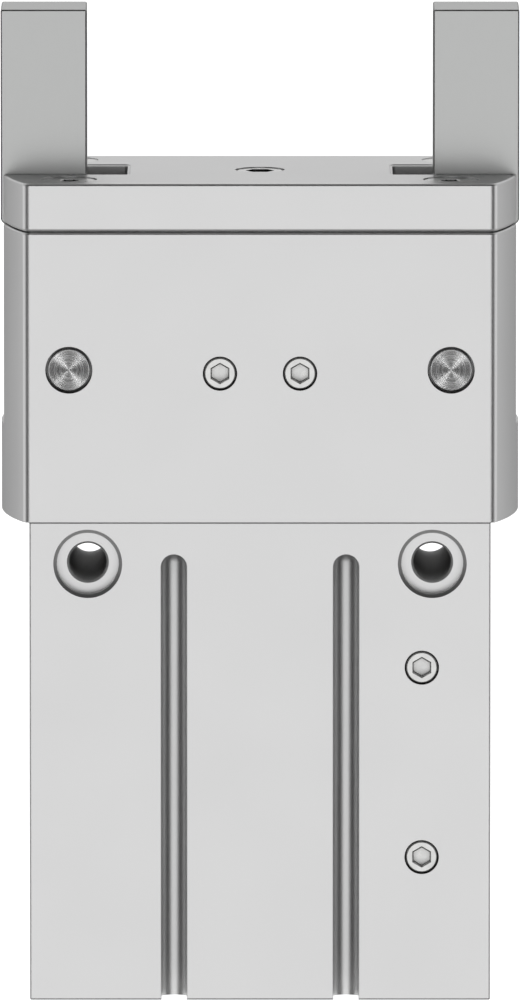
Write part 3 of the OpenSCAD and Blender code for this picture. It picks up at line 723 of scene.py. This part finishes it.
def make_housing():
    """Gear housing with its pockets, pin holes and screw holes."""
    outline = round_sided_outline(HOUSING_CORNER_R)
    housing = lofted("housing_shell", round_edged_layers(outline, HOUSING_LOW.z, HOUSING_TOP,
                                                         HOUSING_BASE_R, HOUSING_TOP_R), fanned=True)
    top = HOUSING_TOP + OVER
    reach = HOUSING_SIDE_HALF + OVER
    half_profile = [(RACK_POCKET_X, CAVITY_FLOOR), (RACK_POCKET_X, GEAR_POCKET_FLOOR),
                    (GEAR_POCKET_X, GEAR_POCKET_FLOOR), (GEAR_POCKET_X, SIDE_SLOT_FLOOR),
                    (reach, SIDE_SLOT_FLOOR), (reach, top)]
    profile = half_profile + [(-x, z) for x, z in reversed(half_profile)]
    cuts = [extruded("cut_cavity", profile, -SLOT_HALF, SLOT_HALF)]
    cuts.append(bar("cut_rod", Matrix.Identity(4), HOUSING_LOW.z - OVER, CAVITY_FLOOR + OVER, ROD_HOLE_R))
    for side in (-1, 1):
        x = side * PIVOT_X
        cuts.append(bar("cut_pin", along_y(x, PIVOT_Z), FRONT_Y + OVER, BACK_Y - OVER, PIN_R, FINE))
        for fore in (-1, 1):
            low, high = sorted((fore * (BACK_Y - PIN_MOUTH_DEPTH), fore * (BACK_Y + OVER)))
            cuts.append(bar("cut_mouth", along_y(x, PIVOT_Z), low, high, PIN_MOUTH_R, FINE))
            spot = Matrix.Translation((side * HOUSING_SCREW_X, fore * HOUSING_SCREW_Y, 0))
            cuts.append(bar("cut_screw", spot, HOUSING_LOW.z - OVER, top, HOUSING_SCREW_HOLE_R))
            sink_floor = HOUSING_TOP - HOUSING_SCREW_SINK_DEPTH
            cuts.append(bar("cut_head", spot, sink_floor, top, HOUSING_SCREW_SINK_R))
            spot = Matrix.Translation((side * PLATE_SCREW_X, fore * PLATE_SCREW_Y, 0))
            cuts.append(bar("cut_plate_screw", spot, PLATE_SCREW_TAP_Z, top, PLATE_SCREW_R))
        cuts.append(bar("cut_guide", along_y(side * GUIDE_X, GUIDE_Z), FRONT_Y - OVER, 0, SET_SCREW_R, FINE))
    combine(housing, cuts, "DIFFERENCE")
    return finish(housing, "gripper_body", ["housing"],
                  MATERIALS["anodised_aluminium"])


# ---------------------------------------------------------------- top plate

def jaw_slot_cutter(name):
    """Slot for the right jaw, open at the side, with a small step and a ledge along its upper edges."""
    inner, outer, half = PLATE_SLOT_X, HOUSING_SIDE_HALF + PLATE_SLOT_REACH, SLOT_HALF
    rim = PLATE_SLOT_LEDGE + PLATE_SLOT_STEP / 2
    r = PLATE_SLOT_CORNER_R
    steps = 6
    outline = arc_outline([((inner + r, half - r), r, 90, 180, steps),
                           ((inner + r, -half + r), r, 180, 270, steps)])
    ends = [(Vector((outer, -half)), Vector((0, -1))), (Vector((outer, half)), Vector((0, 1)))]
    outline = outline + ends
    levels = [(0.0, HOUSING_TOP - OVER), (0.0, PLATE_TOP - PLATE_SLOT_STEP - PLATE_SLOT_LEDGE_DROP),
              (-PLATE_SLOT_LEDGE, PLATE_TOP - PLATE_SLOT_STEP), (-rim, PLATE_TOP), (-rim, PLATE_TOP + OVER)]
    return lofted(name, [inset_loop(outline, inset, z) for inset, z in levels])


def make_top_plate():
    """Cover plate, raised off the housing by a thin foot that leaves a seam round its edge."""
    outline = round_sided_outline(HOUSING_CORNER_R)
    seam_top = HOUSING_TOP + SEAM_GAP
    loops = [inset_loop(outline, SEAM_INSET, HOUSING_TOP), inset_loop(outline, SEAM_INSET, seam_top)]
    loops += round_edged_layers(outline, seam_top, PLATE_TOP, PLATE_BOTTOM_R, PLATE_EDGE_R)
    plate = lofted("top_plate_shell", loops, fanned=True)
    slot = jaw_slot_cutter("cut_slot")
    cuts = [slot, mirrored(slot, "cut_slot_left", (1, 0, 0))]
    under, over = HOUSING_TOP - OVER, PLATE_TOP + OVER
    sink = [(0, under), (PLATE_SCREW_HOLE_R, under), (PLATE_SCREW_HOLE_R, PLATE_TOP - PLATE_SINK_DEPTH),
            (PLATE_SINK_R, PLATE_TOP - PLATE_SINK_WALL), (PLATE_SINK_R, over), (0, over)]
    for side in (-1, 1):
        for fore in (-1, 1):
            spot = Matrix.Translation((side * PLATE_SCREW_X, fore * PLATE_SCREW_Y, 0))
            cuts.append(place(turned("cut_sink", sink), spot))
    cuts.append(turned("cut_plug", [(0, under), (PLUG_HOLE_R, under), (PLUG_HOLE_R, over), (0, over)]))
    combine(plate, cuts, "DIFFERENCE")
    return finish(plate, "gripper_body", ["top_plate"],
                  MATERIALS["anodised_aluminium"])


# ---------------------------------------------------------------- jaws

TOOTH_MODULE = 1.0
GEAR_TEETH = 18
PRESSURE_ANGLE = 20.0
BACKLASH = 0.12
PITCH_R = TOOTH_MODULE * GEAR_TEETH / 2
TIP_R = PITCH_R + TOOTH_MODULE
HUB_R = PITCH_R - 1.25 * TOOTH_MODULE
BASE_R = PITCH_R * math.cos(math.radians(PRESSURE_ANGLE))
FIRST_TOOTH = 160
LAST_TOOTH = 280
FLANK_STEPS = 8

JAW_HALF = JAW_HIGH.y
FINGER_WIDTH = 12.5
FINGER_INNER_X = JAW_HIGH.x - FINGER_WIDTH
LEG_R = 9.0
LEG_STEP_RISE = 0.4
LEG_STEP_Z = HOUSING_TOP + LEG_STEP_RISE
JAW_EDGE = 0.2
JAW_EDGE_DEPTH = 0.09
HEEL_ANGLE = 62
JAW_CUT_REACH = 10
JAW_BUSH_R = 4.2
WASHER_POCKET_R = 5.75
WASHER_POCKET_Y = 5.8
FINGER_SEAT_R = 3.5
FINGER_SEAT_DEPTH = 1.3
FINGER_SEAT_CHAMFER = 0.25
FINGER_MOUTH_CHAMFER = 0.4
FINGER_THREAD_START = 0.5
FINGER_THREAD_END = 0.2
JAW_SHARP = 20.0


def bevelled_prism(name, outline, half, width, depth, skip_below):
    """Prism between -half and half along Y with shallow chamfers, except on edges below a height."""
    stretch = width / depth
    obj = extruded(name, outline, -half * stretch, half * stretch)
    bm = bmesh.new()
    bm.from_mesh(obj.data)
    edges = [e for e in bm.edges if max(v.co.z for v in e.verts) > skip_below]
    bmesh.ops.bevel(bm, geom=edges, offset=width, segments=1, profile=0.5, affect="EDGES", clamp_overlap=True)
    bm.to_mesh(obj.data)
    bm.free()
    return place(obj, Matrix.Scale(1 / stretch, 4, (0, 1, 0)))


def round_edged_disc(name, x, z, radius, half, edge, segments=FINEST):
    """Disc along Y with rounded rims."""
    steps = 3
    rim = [(radius - edge * (1 - math.cos(math.radians(90 * i / steps))),
            half - edge * (1 - math.sin(math.radians(90 * i / steps)))) for i in range(steps + 1)]
    profile = [(0, -half)] + [(r, -h) for r, h in reversed(rim)] + rim + [(0, half)]
    return place(turned(name, profile, segments), along_y(x, z))


def half_tooth_angle(radius):
    """Half angle of an involute tooth at a radius, in radians."""
    def involute(angle):
        return math.tan(angle) - angle
    at_pitch = (math.pi * TOOTH_MODULE - BACKLASH) / 4 / PITCH_R
    return (at_pitch + involute(math.radians(PRESSURE_ANGLE))
            - involute(math.acos(min(1.0, BASE_R / radius))))


def gear_tooth(name, degrees):
    """Involute tooth of the right jaw at an angle around its pivot."""
    radii = [BASE_R + (TIP_R - BASE_R) * i / FLANK_STEPS for i in range(FLANK_STEPS + 1)]
    flank = [(HUB_R - 1, half_tooth_angle(BASE_R))] + [(r, half_tooth_angle(r)) for r in radii]
    points = flank + [(r, -a) for r, a in reversed(flank)]
    turn = math.radians(degrees)
    outline = [(PIVOT_X + r * math.cos(turn + a), PIVOT_Z + r * math.sin(turn + a)) for r, a in points]
    return extruded(name, outline, -JAW_HALF, JAW_HALF)


def make_right_jaw():
    """Finger, hub and gear sector in one piece, with its bush hole, washer pockets and finger threads."""
    outer, inner = JAW_HIGH.x, FINGER_INNER_X
    leg_x = PIVOT_X + LEG_R
    outline = [(inner, PIVOT_Z), (leg_x, PIVOT_Z), (leg_x, LEG_STEP_Z - (outer - leg_x)),
               (outer, LEG_STEP_Z), (outer, JAW_TOP), (inner, JAW_TOP)]
    jaw = bevelled_prism("jaw_leg", outline, JAW_HALF, JAW_EDGE, JAW_EDGE_DEPTH, PIVOT_Z + 0.01)
    heel = round_edged_disc("heel", PIVOT_X, PIVOT_Z, LEG_R, JAW_HALF, JAW_EDGE)
    far = 2 * LEG_R
    slope = math.radians(HEEL_ANGLE)
    sector = [(0, 0), (far * math.cos(slope), -far * math.sin(slope)), (far, -far), (far, 1), (0, 1)]
    sector = [(PIVOT_X + x, PIVOT_Z + z) for x, z in sector]
    combine(heel, [extruded("sector", sector, -JAW_HALF - OVER, JAW_HALF + OVER)], "INTERSECT")
    solids = [heel, bar("hub", along_y(PIVOT_X, PIVOT_Z), -JAW_HALF, JAW_HALF, HUB_R, FINEST)]
    for degrees in range(FIRST_TOOTH, LAST_TOOTH + 1, 360 // GEAR_TEETH):
        solids.append(gear_tooth("tooth", degrees))
    combine(jaw, solids, "UNION")
    reach = JAW_CUT_REACH
    cuts = [bar("cut_bush", along_y(PIVOT_X, PIVOT_Z), -reach, reach, JAW_BUSH_R)]
    threads = []
    for low, high in ((-reach, -WASHER_POCKET_Y), (WASHER_POCKET_Y, reach)):
        cuts.append(bar("cut_washer", along_y(PIVOT_X, PIVOT_Z), low, high, WASHER_POCKET_R, FINE))
    middle = JAW_THREADS["pos_m"][2] / MM
    half_spacing = JAW_THREADS["dims"]["spacing_y_mm"] / 2
    for z in (middle - half_spacing, middle + half_spacing):
        cuts.append(bar("cut_hole", along_x(0, z), inner - OVER, outer + OVER, THREAD_R))
        seat_floor = outer - FINGER_SEAT_DEPTH
        thread = (inner + FINGER_THREAD_START, seat_floor - FINGER_THREAD_END)
        ends = (thread[0] - THREAD_RUNOUT, thread[1] + THREAD_RUNOUT)
        ridge = thread_cutter("cut_thread", ends, thread, THREAD_R, THREAD_DEPTH, THREAD_PITCH)
        threads.append(place(ridge, along_x(0, z)))
        chamfer = FINGER_SEAT_CHAMFER
        seat = [(0, seat_floor), (FINGER_SEAT_R, seat_floor), (FINGER_SEAT_R, outer - chamfer),
                (FINGER_SEAT_R + chamfer + OVER, outer + OVER), (0, outer + OVER)]
        cuts.append(place(turned("cut_seat", seat), along_x(0, z)))
        chamfer = FINGER_MOUTH_CHAMFER
        mouth = [(0, inner - OVER), (THREAD_R + chamfer + OVER, inner - OVER), (THREAD_R, inner + chamfer),
                 (0, inner + chamfer)]
        cuts.append(place(turned("cut_mouth", mouth), along_x(0, z)))
    combine(jaw, cuts, "DIFFERENCE")
    return combine(jaw, threads, "DIFFERENCE")


def make_jaws():
    right = make_right_jaw()
    right.name = "jaw_right_part"
    left = mirrored(right, "jaw_left_part", (1, 0, 0))
    finish(right, "right_jaw", ["jaw_right"], MATERIALS["jaw_steel"], JAW_SHARP)
    finish(left, "left_jaw", ["jaw_left"], MATERIALS["jaw_steel"], JAW_SHARP)


# ---------------------------------------------------------------- pins, screws and plug

PIN_RECESS = 0.1
PIN_CHAMFER = 0.1
TURNING_PITCH = 0.16
TURNING_DEPTH = 0.028
TURNING_SAMPLES = 4
SET_SCREW_RIM = 0.34
SET_SCREW_RIM_DEPTH = 0.6
SET_SCREW_SOFT = 0.06
SOCKET_AF = 2.34
SOCKET_RIM = 0.2
SOCKET_RIM_DEPTH = 0.24
SOCKET_DEPTH = 1.5
SOCKET_POINT = 0.3
SOCKET_POINT_GAP = 0.02
PLATE_SOCKET_AF = 2.5
PLATE_SOCKET_DEPTH = 1.6
PLATE_SOCKET_CHAMFER = 0.12
PLATE_SCREW_TIP = 0.3
PLATE_HEAD_R = 3.9
PLATE_HEAD_HEIGHT = 2.2
PLATE_HEAD_CHAMFER = 0.1
PLATE_HEAD_BAND = 0.2
PLATE_HEAD_SOFT = 0.06
PLUG_FOOT = 0.2
PLUG_EDGE = 0.35
PLUG_SOCKET_AF = 3.7
PLUG_SOCKET_DEPTH = 3


def make_pin(side, name, node):
    """Pivot pin whose end faces carry fine turned grooves."""
    end = BACK_Y - PIN_RECESS
    face_r = PIN_R - PIN_CHAMFER
    face = []
    for i in range(1, int(face_r / TURNING_PITCH) * TURNING_SAMPLES + 1):
        radius = i * TURNING_PITCH / TURNING_SAMPLES
        dip = TURNING_DEPTH * (1 - math.cos(2 * math.pi * i / TURNING_SAMPLES)) / 2
        face.append((radius, end - dip))
    rim = [(face_r, end), (PIN_R, end - PIN_CHAMFER)]
    half = [(0, end)] + face + rim
    profile = [(r, -h) for r, h in half] + list(reversed(half))
    pin = place(turned(name, profile, FINE), along_y(side * PIVOT_X, PIVOT_Z))
    return finish(pin, "gripper_body", [node], MATERIALS["turned_steel"])


def hex_bar(name, af, low, high, first_degrees, far_af=None):
    """Six-sided bar around +Z, which may taper to another width across flats."""
    angles = [math.radians(first_degrees + 60 * i) for i in range(6)]
    ends = ((af / math.sqrt(3), low), ((far_af or af) / math.sqrt(3), high))
    return lofted(name, [[(r * math.cos(a), r * math.sin(a), z) for a in angles] for r, z in ends])


def set_screw(name, x, z, front, back):
    """Headless screw along Y with a chamfered front end and a hexagon socket."""
    length = back - front
    face_r = SET_SCREW_R - SET_SCREW_RIM
    screw = turned(name, [(0, 0), (face_r - SET_SCREW_SOFT, 0), (face_r, SET_SCREW_SOFT),
                          (SET_SCREW_R, SET_SCREW_RIM_DEPTH), (SET_SCREW_R, length), (0, length)])
    socket = hex_bar("socket", SOCKET_AF, -OVER, SOCKET_DEPTH, 30)
    lap = 0.1
    point_r = SOCKET_AF / 2 - SOCKET_POINT_GAP
    point = turned("point", [(0, SOCKET_DEPTH - lap), (point_r, SOCKET_DEPTH - lap),
                             (point_r, SOCKET_DEPTH), (0, SOCKET_DEPTH + SOCKET_POINT)], COARSE)
    slope = 2 * SOCKET_RIM / SOCKET_RIM_DEPTH
    rim = hex_bar("rim", SOCKET_AF + slope * (SOCKET_RIM_DEPTH + lap), -lap, SOCKET_RIM_DEPTH, 30, SOCKET_AF)
    combine(screw, [socket, point, rim], "DIFFERENCE")
    return place(screw, Matrix.Translation((0, front, 0)) @ along_y(x, z))


def joined(name, objects):
    """One object from several separate solids."""
    bm = bmesh.new()
    for obj in objects:
        bm.from_mesh(obj.data)
        bpy.data.meshes.remove(obj.data)
    mesh = bpy.data.meshes.new(name)
    bm.to_mesh(mesh)
    bm.free()
    obj = bpy.data.objects.new(name, mesh)
    bpy.context.scene.collection.objects.link(obj)
    return obj


def make_set_screws():
    ports = [set_screw("port_screw", PORT_X, z, PORT_PLUG_LOW.y, PORT_PLUG_HIGH.y) for z in PORT_HEIGHTS]
    finish(joined("port_plug_screws", ports), "gripper_body", ["port_plugs"],
           MATERIALS["zinc_plated_steel"])
    guides = [set_screw("guide_screw", x, GUIDE_Z, GUIDE_LOW.y, GUIDE_HIGH.y) for x in (-GUIDE_X, GUIDE_X)]
    finish(joined("guide_set_screws", guides), "gripper_body", ["guide_screws"],
           MATERIALS["zinc_plated_steel"])


def make_plate_screws():
    """Countersunk screws with a hexagon socket, one in each corner of the plate."""
    low, top = PLATE_SCREW_LOW.z, PLATE_SCREW_HIGH.z
    band_z = top - PLATE_HEAD_BAND
    profile = [(0, low), (PLATE_SCREW_R - PLATE_SCREW_TIP, low), (PLATE_SCREW_R, low + PLATE_SCREW_TIP),
               (PLATE_SCREW_R, top - PLATE_HEAD_HEIGHT),
               (PLATE_HEAD_R - PLATE_HEAD_CHAMFER, band_z - PLATE_HEAD_CHAMFER), (PLATE_HEAD_R, band_z),
               (PLATE_HEAD_R, top - PLATE_HEAD_SOFT), (PLATE_HEAD_R - PLATE_HEAD_SOFT, top), (0, top)]
    lead = PLATE_SOCKET_AF / math.sqrt(3)
    chamfer_z = top - PLATE_SOCKET_CHAMFER
    screws = []
    for side in (-1, 1):
        for fore in (-1, 1):
            screw = turned("plate_screw", profile)
            mouth = turned("mouth", [(0, chamfer_z), (lead - PLATE_SOCKET_CHAMFER, chamfer_z),
                                     (lead + OVER, top + OVER), (0, top + OVER)], COARSE)
            socket = hex_bar("socket", PLATE_SOCKET_AF, top - PLATE_SOCKET_DEPTH, top + OVER, 0)
            combine(screw, [socket, mouth], "DIFFERENCE")
            screws.append(place(screw, Matrix.Translation((side * PLATE_SCREW_X, fore * PLATE_SCREW_Y, 0))))
    return finish(joined("plate_screw_set", screws), "gripper_body", ["plate_screws"],
                  MATERIALS["oiled_zinc"])


def make_plate_plug():
    """Headless plug with a hexagon socket in the middle of the plate."""
    radius, top = PLUG_HIGH.x, PLUG_HIGH.z
    profile = [(0, PLUG_LOW.z), (radius - PLUG_FOOT, PLUG_LOW.z), (radius, PLUG_LOW.z + PLUG_FOOT),
               (radius, top - PLUG_EDGE), (radius - PLUG_EDGE, top), (0, top)]
    plug = turned("plate_plug_part", profile)
    combine(plug, [hex_bar("socket", PLUG_SOCKET_AF, top - PLUG_SOCKET_DEPTH, top + OVER, 0)], "DIFFERENCE")
    return finish(plug, "gripper_body", ["plate_plug"], MATERIALS["oiled_zinc"])


for node_name, node in NODES.items():
    slot_name = next(s["material_slot"] for s in frame["record"]["subparts"] if s["node"] == node_name)
    node.data.materials.clear()
    node.data.materials.append(MATERIALS[slot_name])

make_cylinder_body()
make_housing()
make_top_plate()
make_jaws()
PINS = [make_pin(-1, "pin_left", "pivot_pin_left"), make_pin(1, "pin_right", "pivot_pin_right")]
make_set_screws()
make_plate_screws()
make_plate_plug()


# ---------------------------------------------------------------- studio and camera

FLOOR_DROP = 0.0001


def make_floor():
    """Pale floor that glows like a light table, left out of the part's reflections and shadows."""
    bpy.ops.mesh.primitive_plane_add(size=16.0, location=(0, 0, -FLOOR_DROP))
    floor = bpy.context.object
    floor.name = "studio_floor"
    floor.visible_glossy = False
    floor.visible_shadow = False
    material = bpy.data.materials.new("studio_floor")
    material.use_nodes = True
    shader = material.node_tree.nodes["Principled BSDF"]
    shader.inputs["Base Color"].default_value = (0.9, 0.9, 0.9, 1.0)
    shader.inputs["Roughness"].default_value = 0.9
    shader.inputs["Emission Color"].default_value = (1.0, 1.0, 1.0, 1.0)
    shader.inputs["Emission Strength"].default_value = 1.0
    floor.data.materials.append(material)


# Brightness of the studio around the part, by angle from its front, near the floor and above it.
STUDIO_LOW = ((0, 1.18), (24, 1.18), (28, 0.07), (66, 0.07),
              (78, 0.85), (118, 0.85), (140, 0.44), (180, 0.20))
STUDIO_HIGH = ((0, 0.03), (60, 0.03), (90, 0.35), (130, 0.62), (180, 0.9))
STUDIO_PEAK = 1.5
HORIZON = (-1.0, 18.0)
DEEP = (-7.0, -50.0)
DEEP_LIGHT = 0.22
ZENITH = (68.0, 84.0)
ZENITH_LIGHT = 0.25


def make_world():
    """Studio as a smooth brightness by direction: light front, dark flags beside it, soft back."""
    world = bpy.data.worlds.new("studio_world")
    bpy.context.scene.world = world
    world.use_nodes = True
    tree = world.node_tree

    def node(kind, **settings):
        made = tree.nodes.new(kind)
        for key, value in settings.items():
            setattr(made, key, value)
        return made

    def number(operation, a, b=0.0):
        made = node("ShaderNodeMath", operation=operation)
        for socket, value in zip(made.inputs, (a, b)):
            if isinstance(value, float):
                socket.default_value = value
            else:
                tree.links.new(value, socket)
        return made.outputs["Value"]

    def step(value, low, high):
        made = node("ShaderNodeMapRange", interpolation_type="SMOOTHSTEP")
        made.inputs["From Min"].default_value = low
        made.inputs["From Max"].default_value = high
        tree.links.new(value, made.inputs["Value"])
        return made.outputs["Result"]

    def stops(value, table):
        made = node("ShaderNodeValToRGB")
        ramp = made.color_ramp
        while len(ramp.elements) < len(table):
            ramp.elements.new(0.5)
        for element, (degrees, light) in zip(ramp.elements, table):
            element.position = degrees / 180.0
            level = light / STUDIO_PEAK
            element.color = (level, level, level, 1.0)
        tree.links.new(value, made.inputs["Fac"])
        return number("MULTIPLY", made.outputs["Color"], STUDIO_PEAK)

    def between(factor, first, second):
        made = node("ShaderNodeMix", data_type="FLOAT")
        for name, value in (("Factor", factor), ("A", first), ("B", second)):
            if isinstance(value, float):
                made.inputs[name].default_value = value
            else:
                tree.links.new(value, made.inputs[name])
        return made.outputs["Result"]

    direction = node("ShaderNodeSeparateXYZ")
    tree.links.new(node("ShaderNodeTexCoord").outputs["Generated"], direction.inputs["Vector"])
    x, y, z = (direction.outputs[axis] for axis in "XYZ")
    turn = number("ABSOLUTE", number("ARCTAN2", x, number("MULTIPLY", y, -1.0)))
    turn = number("DIVIDE", turn, math.pi)
    rise = number("MULTIPLY", number("ARCSINE", z), 180.0 / math.pi)
    light = between(step(rise, *HORIZON), stops(turn, STUDIO_LOW), stops(turn, STUDIO_HIGH))
    light = between(number("SUBTRACT", 1.0, step(rise, DEEP[1], DEEP[0])), light, DEEP_LIGHT)
    light = between(step(rise, *ZENITH), light, ZENITH_LIGHT)
    background = tree.nodes["Background"]
    background.inputs["Color"].default_value = (1.0, 1.0, 1.0, 1.0)
    tree.links.new(light, background.inputs["Strength"])


SOFTBOX_TURN = 40
SOFTBOX_RISE = 32
SOFTBOX_DISTANCE = 2.0
SOFTBOX_SIZE = 1.0
SOFTBOX_ENERGY = 9.5


def make_softbox(name, turn, lit):
    """Square area light at an angle from the front that lights one group of objects."""
    data = bpy.data.lights.new(name, "AREA")
    data.size = SOFTBOX_SIZE
    data.energy = SOFTBOX_ENERGY
    light = bpy.data.objects.new(name, data)
    bpy.context.scene.collection.objects.link(light)
    turn, rise = math.radians(turn), math.radians(SOFTBOX_RISE)
    way = Vector((math.sin(turn) * math.cos(rise), -math.cos(turn) * math.cos(rise), math.sin(rise)))
    light.location = Vector((0, 0, PIVOT_Z * MM)) + SOFTBOX_DISTANCE * way
    light.rotation_euler = (-way).to_track_quat("-Z", "Y").to_euler()
    light.light_linking.receiver_collection = lit


def make_camera():
    """Long lens in front of the gripper, a little above it."""
    elevation = math.radians(7.21)
    distance = 2.7054
    aim_height = 0.5111
    focal_per_sensor = 18.651
    target = Vector((0.0, FRONT_Y * MM, aim_height * JAW_TOP * MM))
    ahead = Vector((0.0, math.cos(elevation), -math.sin(elevation)))
    data = bpy.data.cameras.new("camera")
    data.sensor_width = 36.0
    data.lens = data.sensor_width * focal_per_sensor
    data.clip_start = 0.1
    data.clip_end = 100.0
    camera = bpy.data.objects.new("camera", data)
    bpy.context.scene.collection.objects.link(camera)
    camera.location = target - distance * ahead
    camera.rotation_euler = ahead.to_track_quat("-Z", "Y").to_euler()
    bpy.context.scene.camera = camera


make_floor()
make_world()
pin_light = bpy.data.collections.new("pin_light")
for pin in PINS:
    pin_light.objects.link(pin)
make_softbox("softbox_left", -SOFTBOX_TURN, pin_light)
make_softbox("softbox_right", SOFTBOX_TURN, pin_light)
make_camera()
bpy.context.scene.view_settings.view_transform = "Standard"
